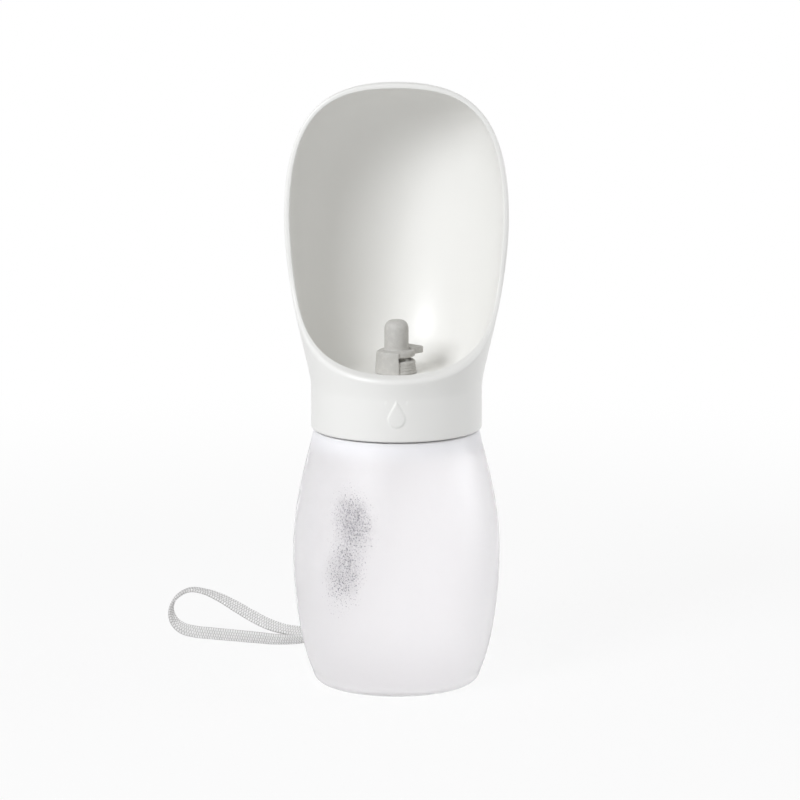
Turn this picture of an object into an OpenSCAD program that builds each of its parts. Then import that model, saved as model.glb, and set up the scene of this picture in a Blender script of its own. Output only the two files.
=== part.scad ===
// Travel water bottle for a dog: a squeeze bottle with a scoop for a head.
// Origin: centre of the foot ring, on the floor. +Z up, the open scoop faces -Y, the strap is at the back.

/* [Bottle] */
// Widest diameter of the bottle
bottle_d = 75.5; // [72:0.5:78]
// Height of the widest ring above the floor
belly_z = 48; // [44:1:52]
// Height of the shoulder, just below the head's collar
shoulder_z = 93.5; // [90:0.5:97]
// Thickness of the bottle's wall
bottle_wall = 1.6; // [1.2:0.1:2]
// Diameter of the flat ring that the bottle stands on, at its middle
foot_d = 51.3; // [48:0.1:53]
// Width of that ring
foot_w = 1.6; // [1:0.2:2]
// Height of the dome pushed up into the base
pushup_h = 3.6; // [2:0.2:6]
// Reach of the heel's curve beyond the middle of the foot ring
heel_w = 5.3; // [4.5:0.1:6]
// Height of the heel's curve
heel_h = 4.1; // [3.5:0.1:5]

/* [Neck and thread] */
// Thickness of the neck's wall
neck_wall = 2; // [1.6:0.1:2.4]
// Rise of the thread in one turn
thread_pitch = 4; // [3.6:0.1:4.4]
// Turns of thread on the neck, and in the sleeve
thread_turns = 1.25; // [1:0.05:1.35]
// Height of the thread's ridge
thread_depth = 1.2; // [0.8:0.1:1.2]
// Width of the ridge at its root
thread_root = 2.2; // [1.8:0.1:2.3]
// Width of the ridge at its crest
thread_crest = 1; // [0.6:0.1:1.2]
// Wall of the sleeve behind its thread
sleeve_wall = 1.6; // [1.2:0.1:1.8]
// Room between the sleeve and the collar's skirt, which the sleeve's two beads span
sleeve_room = 1.2; // [0.8:0.1:1.6]
// Height of each bead
bead_h = 1.6; // [1.2:0.1:2]

/* [Head] */
// Outer diameter of the collar
collar_d = 62; // [61.6:0.2:64]
// Widest diameter of the scoop
scoop_d = 81; // [78:0.5:86]
// Wall of the scoop and the collar
head_wall = 2; // [1.6:0.1:2.2]
// Height of the scoop's floor above the collar's lower edge
floor_rise = 20; // [19:0.2:21]
// Thickness of that floor
floor_t = 2; // [1.6:0.1:2.4]
// Radius of the flat part of the floor
floor_flat_r = 21; // [19:0.5:23]
// Height of the lip at the front, above the collar's lower edge
lip_rise = 22.8; // [22.6:0.2:26]
// Height above the lip at which the rim stands upright
rim_turn = 34.5; // [30:0.5:38]
// Height of the scoop's widest place above the collar's lower edge
wide_rise = 76; // [72:1:80]
// Height of the head, from the collar's lower edge to the top
head_h = 125; // [121:1:130]
// Height of the collar's straight side
collar_h = 15; // [13:0.5:16]

/* [Outlet and stopper] */
// Bore of the outlet
outlet_d = 6.8; // [6.4:0.1:7.2]
// Wall of the spout round the outlet
spout_wall = 1.8; // [1.6:0.1:2]
// Height of the spout above the floor
spout_h = 4.4; // [4:0.1:5]
// Diameter of the silicone ring round the spout
ring_d = 13.6; // [13.2:0.2:14.4]
// Height of the ring
ring_h = 4.8; // [4.6:0.1:5.4]
// Diameter of the stopper's flange
flange_d = 13.4; // [12.8:0.2:14]
// Thickness of the flange
flange_t = 2.4; // [2:0.1:2.8]
// Diameter of the knob
knob_d = 8.8; // [8:0.1:9.4]
// Height of the knob above the flange
knob_h = 11.4; // [10:0.2:13]
// Length of the tapered plug below the flange
plug_l = 3.6; // [3:0.1:4]
// Reach of the pull tab from the outlet's axis
tab_reach = 9.8; // [9:0.1:10.4]
// Width of the pull tab
tab_w = 7; // [6:0.2:8]
// Width of the living hinge
web_w = 6; // [4:0.2:7]
// Height of the living hinge
web_h = 1.2; // [1:0.1:1.6]
// Thickness of the living hinge
web_t = 0.9; // [0.6:0.1:1]
// Direction that the hinge lies in, seen from above
hinge_turn = 225; // [200:5:250]

/* [Gasket] */
// Thickness of the mouth gasket
gasket_t = 1.7; // [1.4:0.1:2]
// Width of the gasket's ring
gasket_w = 3.8; // [3.2:0.1:4]

/* [Strap and lug] */
// Width of the woven tape
tape_w = 4.6; // [4:0.2:5]
// Thickness of the tape
tape_t = 1.3; // [1:0.1:1.4]
// Diameter of the bar that the tape goes round
bar_d = 2.4; // [2:0.1:2.6]
// Distance of the bar's centre from the collar's side
bar_reach = 4.4; // [4.2:0.1:5]
// Height of the bar's centre above the collar's lower edge
bar_rise = 5.4; // [5:0.2:8]
// Thickness of each ear that holds the bar
ear_t = 2.2; // [1.8:0.1:2.6]
// Room for the tape between the ears, beyond its own width
ear_room = 2.4; // [1.6:0.2:3]

/* [Relief] */
// Width of the plain drop on the front of the collar
drop_w = 7; // [5:0.5:8]
// How far the drop stands out
drop_t = 0.35; // [0.2:0.05:0.5]
// Height of the middle of its round end above the collar's lower edge
drop_rise = 8.5; // [6:0.5:10]

/* [Clearances] */
// Between the bottle's shoulder and the collar
collar_gap = 0.6; // [0.4:0.1:1]
// Between the two threads, and between neck and sleeve
thread_gap = 0.3; // [0.25:0.05:0.4]
// Above and below the gasket, and round it
seal_gap = 0.3; // [0.25:0.05:0.4]
// Between two pieces that are pushed together
fit_gap = 0.1; // [0.05:0.01:0.12]
// Between the plug and its bore, at the flange
plug_gap = 0.2; // [0.15:0.05:0.3]
// Between the two layers of the doubled tape
layer_gap = 0.2; // [0.15:0.05:0.3]

/* [Hidden] */
$fn = 96;
eps = 0.01;

bottle_r = bottle_d / 2;
foot_r = foot_d / 2;
collar_r = collar_d / 2;
scoop_r = scoop_d / 2;
skirt_r = collar_r - head_wall;
edge_r = 0.8;
shoulder_r = collar_r - edge_r;

// Pulls of the curves that draw the barrel, the scoop and its rim
belly_pull = 18;
neck_pull = 11.6;
neck_swell = 2.7;
waist_pull = 8;
flare_pull = 27.5;
crown_up = 0.86;
crown_out = 0.56;
bowl_up = 0.88;
bowl_out = 0.57;
rim_dip = 0.4;

// Levels, from the floor up
collar_z = shoulder_z + collar_gap;
floor_z = collar_z + floor_rise;
under_z = floor_z - floor_t;
neck_z = under_z - gasket_t - 2 * seal_gap;
lip_z = collar_z + lip_rise;
wide_z = collar_z + wide_rise;
top_z = collar_z + head_h;

// Sleeve and thread, from the skirt inwards
bead_r = skirt_r - fit_gap;
sleeve_r = bead_r - sleeve_room;
bore_r = sleeve_r - sleeve_wall;
neck_r = bore_r - thread_gap - thread_depth;
sleeve_z = collar_z + 1;
thread_z = collar_z + 4;
thread_steps = 36;
thread_sink = 0.25;

// Outlet, spout and stopper
outlet_r = outlet_d / 2;
spout_r = outlet_r + spout_wall;
spout_bead = 0.5;
spout_bead_z = floor_z + spout_h * 0.6;
ring_r = ring_d / 2;
ring_z = floor_z + ring_h;
flange_z = ring_z + web_h;
flange_r = flange_d / 2;
knob_r = knob_d / 2;
plug_r = outlet_r - plug_gap;
plug_taper = 0.8;
web_r = flange_r + web_t + 0.2;
arm_t = 1.4;
ring_arm_t = 2.4;

// Lug
bar_y = collar_r + bar_reach;
bar_z = collar_z + bar_rise;
ear_in = (tape_w + ear_room) / 2;
ear_rim = 1.4;
eye_drop = 7.5;
eye_z = bar_z - eye_drop;

// Route of the doubled tape from the bar down behind the bottle, chosen by hand
tail_points = [
    [0, 35.4, 92], [0, 35.4, 86.5], [-0.5, 35.7, 81], [-1, 36.4, 76], [-2, 37.3, 71], [-3, 38.1, 66],
    [-4, 38.8, 61], [-5.5, 39.3, 56], [-7, 39.6, 51], [-8.5, 39.8, 46], [-10, 40, 41], [-12, 40.2, 36],
    [-14, 40.4, 31], [-16, 40.6, 26], [-18, 40.8, 21.5], [-20, 40.9, 17.5], [-22, 41.1, 14], [-24, 41.4, 10.5]
];
// Its two upper points follow the bar, and all of them keep their share of the height of the eye's end
tail_way = [for (i = [0:len(tail_points) - 1])
    let (p = tail_points[i])
    [p[0], i < 2 ? bar_y : p[1], p[2] * eye_z / tail_points[0][2]]];
// The loop on the floor: its own middle line, and how far its width is turned out of the upright, in degrees
loop_way = [
    [-28, 41.5, 6.2], [-32, 42.1, 3.8], [-36, 42.9, 2.9], [-41, 44.6, 2.7], [-47, 46.9, 2.7],
    [-53, 49.1, 2.7], [-59, 51.4, 2.7], [-65, 53.6, 2.7], [-71, 55.8, 2.7], [-77, 58, 2.8],
    [-82, 59.7, 3.8], [-85.3, 60.6, 6.8],
    [-86.2, 60.9, 11.2], [-84, 60.6, 15.8], [-79, 59.6, 18.8], [-73, 58.2, 18.4], [-67, 56.4, 16.4],
    [-61, 54.6, 13.4], [-55, 52.7, 10.3], [-49, 50.7, 7.7], [-43, 48.7, 6.2], [-37, 46.8, 5.8],
    [-32, 45.4, 6.1], [-28, 44, 7.3]
];
loop_roll = [
    90, 90, 90, 90, 90, 90, 90, 88, 84, 76, 58, 34,
    14, 2, -4, -14, -34, -54, -64, -66, -66, -68, -74, -84
];
tail_end = tail_way[len(tail_way) - 1];
tail_dir = unit(tail_end - tail_way[len(tail_way) - 2]);
doubled_t = 2 * tape_t + layer_gap;
layer_step = (tape_t + layer_gap) / 2;
eye_in = bar_d / 2 + fit_gap;
eye_out = eye_in + tape_t;
tack_t = 0.25;
tack_from = 0.8;
tack_to = 3.6;
ring_join = 1.4;

function unit(v) = v / norm(v);
function turned(r, a) = [r * cos(a), r * sin(a)];

// A cubic curve's point at s, from 0 to 1
function curve_point(p, s) =
    pow(1 - s, 3) * p[0] + 3 * s * pow(1 - s, 2) * p[1] + 3 * s * s * (1 - s) * p[2] + pow(s, 3) * p[3];
function curve(p, n = 12) = [for (i = [0:n]) curve_point(p, i / n)];
function backwards(list) = [for (i = [len(list) - 1:-1:0]) list[i]];

// Half outline of the barrel, from the foot ring up to the shoulder, drawn in by an inset
function barrel(inset) = concat(
    curve([
        [foot_r + foot_w / 2, inset], [foot_r + heel_w * 0.72 - inset / 2, inset],
        [foot_r + heel_w * 0.87 - inset, heel_h / 3 + inset], [foot_r + heel_w - inset, heel_h + inset / 2]
    ], 6),
    curve([
        [foot_r + heel_w - inset, heel_h + inset / 2], [foot_r + heel_w * 1.66 - inset, heel_h * 2.83],
        [bottle_r - inset, belly_z - belly_pull], [bottle_r - inset, belly_z]
    ], 14),
    curve([
        [bottle_r - inset, belly_z], [bottle_r - inset, belly_z + belly_pull],
        [shoulder_r + neck_swell - inset, shoulder_z - edge_r - neck_pull],
        [shoulder_r - inset, shoulder_z - edge_r - inset / 2]
    ], 14)
);

// Half outline of the pushed-up base
function dome(inset) = curve([
    [0, pushup_h + inset], [foot_r * 0.5, pushup_h + inset],
    [foot_r * 0.8, inset], [foot_r - foot_w / 2, inset]
], 8);

// Half outline of the head's outside, from the collar's lower edge to the top
function head_outside() = concat(
    [
        [collar_r - edge_r, collar_z], [collar_r - edge_r * 0.3, collar_z + edge_r * 0.3],
        [collar_r, collar_z + edge_r]
    ],
    curve([
        [collar_r, collar_z + collar_h], [collar_r, collar_z + collar_h + waist_pull],
        [scoop_r, wide_z - flare_pull], [scoop_r, wide_z]
    ], 14),
    curve([
        [scoop_r, wide_z], [scoop_r, wide_z + (top_z - wide_z) * crown_up],
        [scoop_r * crown_out, top_z], [0, top_z]
    ], 18)
);

// Half outline of the bowl inside, from the top down to the flat of the floor
function bowl_inside() =
    let (r = scoop_r - head_wall, z = top_z - head_wall)
    concat(
        backwards(curve([
            [r, wide_z], [r, wide_z + (z - wide_z) * bowl_up],
            [r * bowl_out, z], [0, z]
        ], 18)),
        backwards(curve([
            [floor_flat_r, floor_z], [collar_r + head_wall / 2, floor_z],
            [r - head_wall * 0.3, wide_z - flare_pull], [r, wide_z]
        ], 18))
    );

// Side view of the rim: from the lip at the front, up and back to the upright part
function rim_side() = curve([
    [-collar_r - 2, lip_z - rim_dip], [-collar_r * 0.58, lip_z + 2.7],
    [0, lip_z + rim_turn * 0.58], [0, lip_z + rim_turn]
], 16);

// A closed solid from rings of equal length, each one a list of points
module skin(rings) {
    n = len(rings[0]);
    last = len(rings) - 1;
    polyhedron(
        [for (ring = rings) each ring],
        concat(
            [for (j = [1:n - 2]) [0, j + 1, j]],
            [for (i = [0:last - 1], j = [0:n - 1])
                [i * n + j, i * n + (j + 1) % n, (i + 1) * n + (j + 1) % n]],
            [for (i = [0:last - 1], j = [0:n - 1])
                [i * n + j, (i + 1) * n + (j + 1) % n, (i + 1) * n + j]],
            [for (j = [1:n - 2]) [last * n, last * n + j, last * n + j + 1]]
        )
    );
}

// One ridge of thread. It grows out of a wall at root_r to crest_r, and fades into it at both ends
module thread_ridge(root_r, crest_r, start_z) {
    steps = round(thread_steps * thread_turns);
    out = sign(crest_r - root_r);
    sunk_r = root_r - out * thread_sink;
    skin([for (i = [0:steps])
        let (
            a = i * 360 / thread_steps,
            z = start_z + thread_pitch * a / 360,
            grown = min(1, i / 4, (steps - i) / 4),
            r = root_r - out * 0.1 + (crest_r - root_r + out * 0.1) * grown,
            inner = [sunk_r, z - thread_root / 2],
            low = [r, z - thread_crest / 2],
            high = [r, z + thread_crest / 2],
            outer = [sunk_r, z + thread_root / 2],
            section = out > 0 ? [inner, low, high, outer] : [outer, high, low, inner]
        )
        [for (p = section) [p[0] * cos(a), p[0] * sin(a), p[1]]]
    ]);
}

// Corners of the tape's section, across its width and through its thickness
function tape_section(w, lo, hi) =
    let (c = min(0.3, (hi - lo) / 3))
    [
        [w / 2, lo + c], [w / 2, hi - c], [w / 2 - c, hi], [c - w / 2, hi],
        [-w / 2, hi - c], [-w / 2, lo + c], [c - w / 2, lo], [w / 2 - c, lo]
    ];

// Direction of a route at point i
function way_dir(way, i) = unit(way[min(i + 1, len(way) - 1)] - way[max(i - 1, 0)]);

// The tape's section stood on a route: roll turns its width from level (0) to upright (90)
function tape_ring(at, dir, roll, section) =
    let (
        back = unit([0, 1, 0] - dir[1] * dir),
        rise = cross(back, dir),
        wide = cos(roll) * back + sin(roll) * rise,
        thick = cross(wide, dir)
    )
    [for (p = section) at + p[0] * wide + p[1] * thick];

// The loop's whole route: it leaves one layer of the tail and comes back to the other
function loop_route() =
    let (thick = cross(tape_ring([0, 0, 0], tail_dir, 90, [[1, 0]])[0], tail_dir))
    concat(
        [tail_end - layer_step * thick, tail_end - layer_step * thick + ring_join * tail_dir],
        loop_way,
        [tail_end + layer_step * thick + ring_join * tail_dir, tail_end + layer_step * thick]
    );
function loop_rolls() = concat([90, 90], loop_roll, [-90, -90]);
function loop_dir(way, i) =
    i < 2 ? tail_dir : i > len(way) - 3 ? -tail_dir : way_dir(way, i);

// The barrel-shaped bottle with its threaded neck
module bottle() {
    color([0.93, 0.93, 0.95, 0.6]) {
        rotate_extrude()
            polygon(concat(
                dome(0),
                barrel(0),
                [
                    [shoulder_r - 0.5, shoulder_z], [neck_r, shoulder_z],
                    [neck_r, neck_z - 0.4], [neck_r - 0.4, neck_z], [neck_r - neck_wall, neck_z],
                    [neck_r - neck_wall, shoulder_z - bottle_wall]
                ],
                backwards(barrel(bottle_wall)),
                backwards(dome(bottle_wall))
            ));
        thread_ridge(neck_r, neck_r + thread_depth, thread_z);
    }
}

// The flat silicone ring between the neck and the head
module mouth_gasket() {
    color([0.75, 0.75, 0.74])
        translate([0, 0, neck_z + seal_gap])
            difference() {
                cylinder(h = gasket_t, r = bore_r - seal_gap);
                translate([0, 0, -1])
                    cylinder(h = gasket_t + 2, r = bore_r - seal_gap - gasket_w);
            }
}

// The inner sleeve of the collar, with the thread that meets the neck's
module thread_sleeve() {
    color([0.88, 0.88, 0.88]) {
        rotate_extrude()
            polygon([
                [bore_r, sleeve_z], [bead_r, sleeve_z], [bead_r, sleeve_z + bead_h],
                [sleeve_r, sleeve_z + bead_h], [sleeve_r, under_z - bead_h], [bead_r, under_z - bead_h],
                [bead_r, under_z], [bore_r, under_z]
            ]);
        thread_ridge(bore_r, neck_r + thread_gap, thread_z - thread_pitch / 2);
    }
}

// Everything in front of the rim, which is cut away
module rim_cut() {
    half_w = scoop_r + 10;
    front = -scoop_r - 10;
    rotate([90, 0, 90])
        translate([0, 0, -half_w])
            linear_extrude(2 * half_w)
                polygon(concat(
                    [[front, lip_z - rim_dip]],
                    rim_side(),
                    [[0, top_z + 10], [front, top_z + 10]]
                ));
}

// A plain drop outline, point up
module drop_outline(w) {
    r = w / 2;
    tip = 2.1 * r;
    touch = acos(r / tip);
    circle(r);
    polygon([turned(r, 90 - touch), [0, tip], turned(r, 90 + touch), [0, 0]]);
}

// The plain relief on the front of the collar
module drop_relief() {
    intersection() {
        translate([0, 0, collar_z + drop_rise])
            rotate([90, 0, 0])
                linear_extrude(collar_r + 5)
                    drop_outline(drop_w);
        difference() {
            translate([0, 0, collar_z + 1])
                cylinder(h = lip_rise, r = collar_r + drop_t);
            cylinder(h = top_z, r = skirt_r + head_wall / 4);
        }
    }
}

// Two ears and a round bar at the back of the collar, for the strap
module strap_lug() {
    ear_r = bar_d / 2 + ear_rim;
    root_r = skirt_r + head_wall / 4;
    for (side = [-1, 1])
        translate([side * (ear_in + ear_t / 2) - ear_t / 2, 0, bar_z])
            rotate([90, 0, 90])
                linear_extrude(ear_t) {
                    translate([bar_y, 0])
                        circle(ear_r);
                    polygon([
                        [root_r, -ear_r - 0.6], [bar_y, -ear_r], [bar_y, ear_r], [root_r, ear_r + 1.6]
                    ]);
                }
    translate([-ear_in - eps, bar_y, bar_z])
        rotate([0, 90, 0])
            cylinder(h = 2 * (ear_in + eps), r = bar_d / 2);
}

// Tube in the scoop's floor that the silicone ring grips
module spout() {
    z = spout_bead_z;
    rotate_extrude()
        polygon([
            [0, floor_z - eps], [spout_r, floor_z - eps], [spout_r, z],
            [spout_r + spout_bead, z + 0.5], [spout_r + spout_bead, z + 0.9], [spout_r, z + 1.4],
            [spout_r, floor_z + spout_h - 0.4], [spout_r - 0.4, floor_z + spout_h], [0, floor_z + spout_h]
        ]);
}

// The one-piece head: collar, floor, spout, open scoop and rear lug
module scoop() {
    color([0.95, 0.95, 0.94])
        difference() {
            union() {
                difference() {
                    rotate_extrude()
                        polygon(concat(
                            head_outside(),
                            bowl_inside(),
                            [[0, floor_z], [0, under_z], [skirt_r, under_z], [skirt_r, collar_z]]
                        ));
                    rim_cut();
                }
                difference() {
                    union() {
                        strap_lug();
                        drop_relief();
                    }
                    translate([0, 0, collar_z - 1])
                        cylinder(h = under_z - collar_z + 1, r = skirt_r);
                }
                spout();
            }
            translate([0, 0, under_z - 1])
                cylinder(h = floor_t + spout_h + 2, r = outlet_r);
        }
}

// A flat arm that points towards the hinge, from radius r0 to r1
module hinge_arm(r0, r1, z0, z1) {
    rotate([0, 0, hinge_turn])
        translate([r0, -web_w / 2, z0])
            cube([r1 - r0, web_w, z1 - z0]);
}

// The silicone ring that grips the spout, with the arm that carries the hinge
module spout_ring() {
    z = spout_bead_z;
    r = spout_r + fit_gap;
    color([0.68, 0.67, 0.66])
        difference() {
            union() {
                rotate_extrude()
                    polygon([
                        [0, floor_z], [ring_r + 0.5, floor_z], [ring_r + 0.5, floor_z + 0.8],
                        [ring_r, floor_z + 1.4], [ring_r, ring_z - 0.5], [ring_r - 0.5, ring_z], [0, ring_z]
                    ]);
                hinge_arm(spout_r + 1, web_r + 0.6, ring_z - ring_arm_t, ring_z);
            }
            rotate_extrude()
                polygon([
                    [0, floor_z - 1], [r, floor_z - 1], [r, z - fit_gap],
                    [r + spout_bead, z + 0.5 - fit_gap], [r + spout_bead, z + 0.9 + fit_gap],
                    [r, z + 1.4 + fit_gap], [r, ring_z + 1], [0, ring_z + 1]
                ]);
        }
}

// The thin web between ring and stopper
module stopper_hinge() {
    color([0.68, 0.67, 0.66])
        hinge_arm(web_r - web_t, web_r, ring_z, flange_z);
}

// The stopper: tapered plug, flange with its pull tab, and the tall round knob
module stopper() {
    top = flange_z + flange_t;
    round_r = knob_r * 0.36;
    color([0.68, 0.67, 0.66]) {
        rotate_extrude()
            polygon(concat(
                [
                    [0, flange_z - plug_l], [plug_r - plug_taper - 0.3, flange_z - plug_l],
                    [plug_r - plug_taper, flange_z - plug_l + 0.3],
                    [plug_r, flange_z - 0.4], [plug_r, flange_z],
                    [flange_r - 0.4, flange_z], [flange_r, flange_z + 0.4], [flange_r, top - 0.8],
                    [flange_r - 0.8, top], [knob_r, top]
                ],
                curve([
                    [knob_r, top + knob_h - 2 * round_r], [knob_r, top + knob_h - round_r * 0.7],
                    [knob_r - round_r * 0.6, top + knob_h], [knob_r - 2 * round_r, top + knob_h]
                ], 8),
                [[0, top + knob_h]]
            ));
        rotate([0, 0, hinge_turn + 180]) {
            translate([knob_r, -tab_w / 2, flange_z + 0.9])
                cube([tab_reach - tab_w / 2 - knob_r, tab_w, flange_t - 0.4]);
            translate([tab_reach - tab_w / 2, 0, flange_z + 0.9])
                cylinder(h = flange_t - 0.4, r = tab_w / 2);
        }
        hinge_arm(knob_r, web_r, flange_z, flange_z + arm_t);
    }
}

// The turn of tape round the bar, drawn together below it
module strap_eye() {
    slant = asin((eye_out - doubled_t / 2) / eye_drop);
    color([0.93, 0.93, 0.91])
        translate([-tape_w / 2, bar_y, bar_z])
            rotate([90, 0, 90])
                linear_extrude(tape_w)
                    difference() {
                        union() {
                            circle(eye_out);
                            polygon([
                                turned(eye_out, -slant), turned(eye_out, 180 + slant),
                                [-doubled_t / 2, -eye_drop], [doubled_t / 2, -eye_drop]
                            ]);
                        }
                        circle(eye_in);
                        polygon([
                            turned(eye_in, -slant), turned(eye_in, 180 + slant),
                            [-layer_gap / 2, 2 - eye_drop], [layer_gap / 2, 2 - eye_drop]
                        ]);
                    }
}

// The doubled tape that hangs behind the bottle
module strap_tail() {
    section = tape_section(tape_w, -doubled_t / 2, doubled_t / 2);
    color([0.93, 0.93, 0.91])
        skin([for (i = [0:len(tail_way) - 1])
            tape_ring(tail_way[i], i == 0 ? [0, 0, -1] : way_dir(tail_way, i), 90, section)]);
}

// The open loop of single tape on the floor
module strap_loop() {
    way = loop_route();
    rolls = loop_rolls();
    section = tape_section(tape_w, -tape_t / 2, tape_t / 2);
    color([0.93, 0.93, 0.91])
        skin([for (i = [0:len(way) - 1]) tape_ring(way[i], loop_dir(way, i), rolls[i], section)]);
}

// A bar tack: a pad of thread on each face of the tape, from one point to the next
module bar_tack(a, b, dir) {
    w = tape_w * 0.82;
    for (side = [-1, 1]) {
        near = side * doubled_t / 2;
        far = near + side * tack_t;
        pad = tape_section(w, min(near, far), max(near, far));
        skin([tape_ring(a, dir, 90, pad), tape_ring(b, dir, 90, pad)]);
    }
}

// Bar tacks under the eye and above the loop
module strap_stitching() {
    color([0.86, 0.86, 0.84]) {
        bar_tack([0, bar_y, eye_z - tack_from], [0, bar_y, eye_z - tack_to], [0, 0, -1]);
        bar_tack(tail_end - tack_to * tail_dir, tail_end - tack_from * tail_dir, tail_dir);
    }
}

bottle();
mouth_gasket();
scoop();
thread_sleeve();
spout_ring();
stopper_hinge();
stopper();
strap_eye();
strap_tail();
strap_loop();
strap_stitching();
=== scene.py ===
"""Dog travel water bottle: its visible pieces, finishes, studio and camera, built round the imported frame."""
import math
from contextlib import contextmanager

import bmesh
import bpy
import numpy as np
from bpy.props import FloatProperty, FloatVectorProperty, PointerProperty
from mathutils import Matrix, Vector


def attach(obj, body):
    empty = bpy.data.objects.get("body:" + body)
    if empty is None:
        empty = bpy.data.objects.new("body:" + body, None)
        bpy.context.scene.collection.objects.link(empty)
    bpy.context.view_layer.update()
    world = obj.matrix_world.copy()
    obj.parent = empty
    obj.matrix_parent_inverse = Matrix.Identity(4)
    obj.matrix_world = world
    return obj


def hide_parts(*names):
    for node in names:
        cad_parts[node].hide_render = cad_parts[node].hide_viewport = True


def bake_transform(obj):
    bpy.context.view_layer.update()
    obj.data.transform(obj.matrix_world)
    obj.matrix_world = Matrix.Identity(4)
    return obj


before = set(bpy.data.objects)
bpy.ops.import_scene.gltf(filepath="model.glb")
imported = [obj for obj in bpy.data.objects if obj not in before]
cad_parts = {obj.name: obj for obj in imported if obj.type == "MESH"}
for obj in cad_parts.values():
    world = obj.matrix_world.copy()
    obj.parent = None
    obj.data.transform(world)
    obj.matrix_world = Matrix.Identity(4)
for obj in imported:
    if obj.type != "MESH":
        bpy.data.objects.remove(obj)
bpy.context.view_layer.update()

bl_info = {
    "name": "Dog travel water bottle",
    "version": (1, 0, 0),
    "blender": (4, 5, 0),
    "location": "3D View > Sidebar > Water bottle",
    "description": "Builds a squeeze water bottle with a drinking scoop, silicone stopper and woven wrist strap",
    "category": "Add Mesh",
}

MM = 0.001
RAYS = 256        # points round each row of the head
PICTURE = 800     # pixels across the picture that the camera is set for


# Numbers and colours

def linear(code):
    """An sRGB hex colour as the linear values that a shader takes."""
    parts = [int(code[i:i + 2], 16) / 255 for i in (1, 3, 5)]
    return tuple(c / 12.92 if c <= 0.04045 else ((c + 0.055) / 1.055) ** 2.4 for c in parts)


def length(name, mm, words):
    """A length that a user may change, given in millimetres and kept in metres."""
    return FloatProperty(
        name=name, description=words, default=mm * MM, min=0.0, unit="LENGTH", subtype="DISTANCE", precision=5
    )


def colour(name, code, words):
    return FloatVectorProperty(
        name=name, description=words, default=linear(code), size=3, min=0.0, max=1.0, subtype="COLOR"
    )


def power(name, watts, words):
    return FloatProperty(name=name, description=words, default=watts, min=0.0, unit="POWER")


def bezier(p0, p1, p2, p3, steps):
    """Points, or rows of points, of a cubic after its first."""
    t = np.linspace(0, 1, steps + 1)[1:].reshape(-1, *[1] * np.ndim(p0))
    a, b, c, d = (np.array(p, float) for p in (p0, p1, p2, p3))
    return (1 - t) ** 3 * a + 3 * (1 - t) ** 2 * t * b + 3 * (1 - t) * t * t * c + t ** 3 * d


def chain(*parts):
    """Points and runs of points as one outline."""
    return np.vstack([np.atleast_2d(np.array(p, float)) for p in parts])


def unit(v):
    v = np.asarray(v, float)
    return v / np.linalg.norm(v, axis=-1, keepdims=True)


def smooth_step(t):
    t = np.clip(t, 0, 1)
    return t * t * (3 - 2 * t)


# Mesh tools

def only(obj):
    """Selects one object and makes it the active one."""
    bpy.ops.object.select_all(action="DESELECT")
    obj.select_set(True)
    bpy.context.view_layer.objects.active = obj


@contextmanager
def editing(obj):
    only(obj)
    bpy.ops.object.mode_set(mode="EDIT")
    yield
    bpy.ops.object.mode_set(mode="OBJECT")


def started(name, add, **settings):
    """One primitive added with nothing else selected."""
    bpy.ops.object.select_all(action="DESELECT")
    add(**settings)
    obj = bpy.context.object
    obj.name = obj.data.name = name
    bpy.ops.object.transform_apply(location=True, rotation=True, scale=True)
    return obj


def circle_rows(profile):
    """Each (radius, height) of a profile as a ring of points about the upright axis, the first at the front."""
    turn = np.radians(-90 + 360 * np.arange(RAYS) / RAYS)
    return [np.stack([r * np.cos(turn), r * np.sin(turn), np.full(RAYS, z)], axis=1) for r, z in profile]


def lofted(name, rows):
    """A circle primitive, extruded once for every further row, with each row's points moved to their place."""
    obj = started(name, bpy.ops.mesh.primitive_circle_add, vertices=len(rows[0]), radius=MM)
    with editing(obj):
        bm = bmesh.from_edit_mesh(obj.data)
        ray = bm.verts.layers.int.new("ray")
        for i, v in enumerate(bm.verts):
            v[ray] = i
            v.co = rows[0][i] * MM
        for row in rows[1:]:
            bpy.ops.mesh.extrude_edges_move()
            bm = bmesh.from_edit_mesh(obj.data)
            ray = bm.verts.layers.int["ray"]
            for v in bm.verts:
                if v.select:
                    v.co = row[v[ray]] * MM
        bmesh.update_edit_mesh(obj.data)
    obj.data.attributes.remove(obj.data.attributes["ray"])
    return obj


def closed_up(obj, fill=False):
    """Seams merged, open ends filled where asked, and all faces turned outwards."""
    with editing(obj):
        bpy.ops.mesh.select_all(action="SELECT")
        bpy.ops.mesh.remove_doubles(threshold=0.000002)
        if fill:
            bpy.ops.mesh.fill_holes(sides=0)
        bpy.ops.mesh.normals_make_consistent(inside=False)
    return obj


def rounded_edges(obj, width, segments=3, over=50):
    """Every edge sharper than an angle bevelled, by a width in millimetres."""
    with editing(obj):
        bpy.ops.mesh.select_mode(type="EDGE")
        bpy.ops.mesh.select_all(action="DESELECT")
        bpy.ops.mesh.edges_select_sharp(sharpness=math.radians(over))
        bpy.ops.mesh.bevel(offset=width * MM, segments=segments, profile=0.5)
        bpy.ops.mesh.select_mode(type="VERT")
    return obj


def spun(name, outline, steps):
    """A point extruded along an outline of (radius, height), then spun about the upright axis."""
    r, z = outline[0] * MM
    obj = started(name, bpy.ops.mesh.primitive_plane_add, size=MM, location=(r, 0, z))
    with editing(obj):
        bpy.ops.mesh.merge(type="CENTER")
        for move in np.diff(outline, axis=0) * MM:
            bpy.ops.mesh.extrude_vertices_move(TRANSFORM_OT_translate={"value": (move[0], 0, move[1])})
        bpy.ops.mesh.select_all(action="SELECT")
        bpy.ops.mesh.spin(steps=steps, angle=2 * math.pi, center=(0, 0, 0), axis=(0, 0, 1))
    return closed_up(obj)


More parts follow.
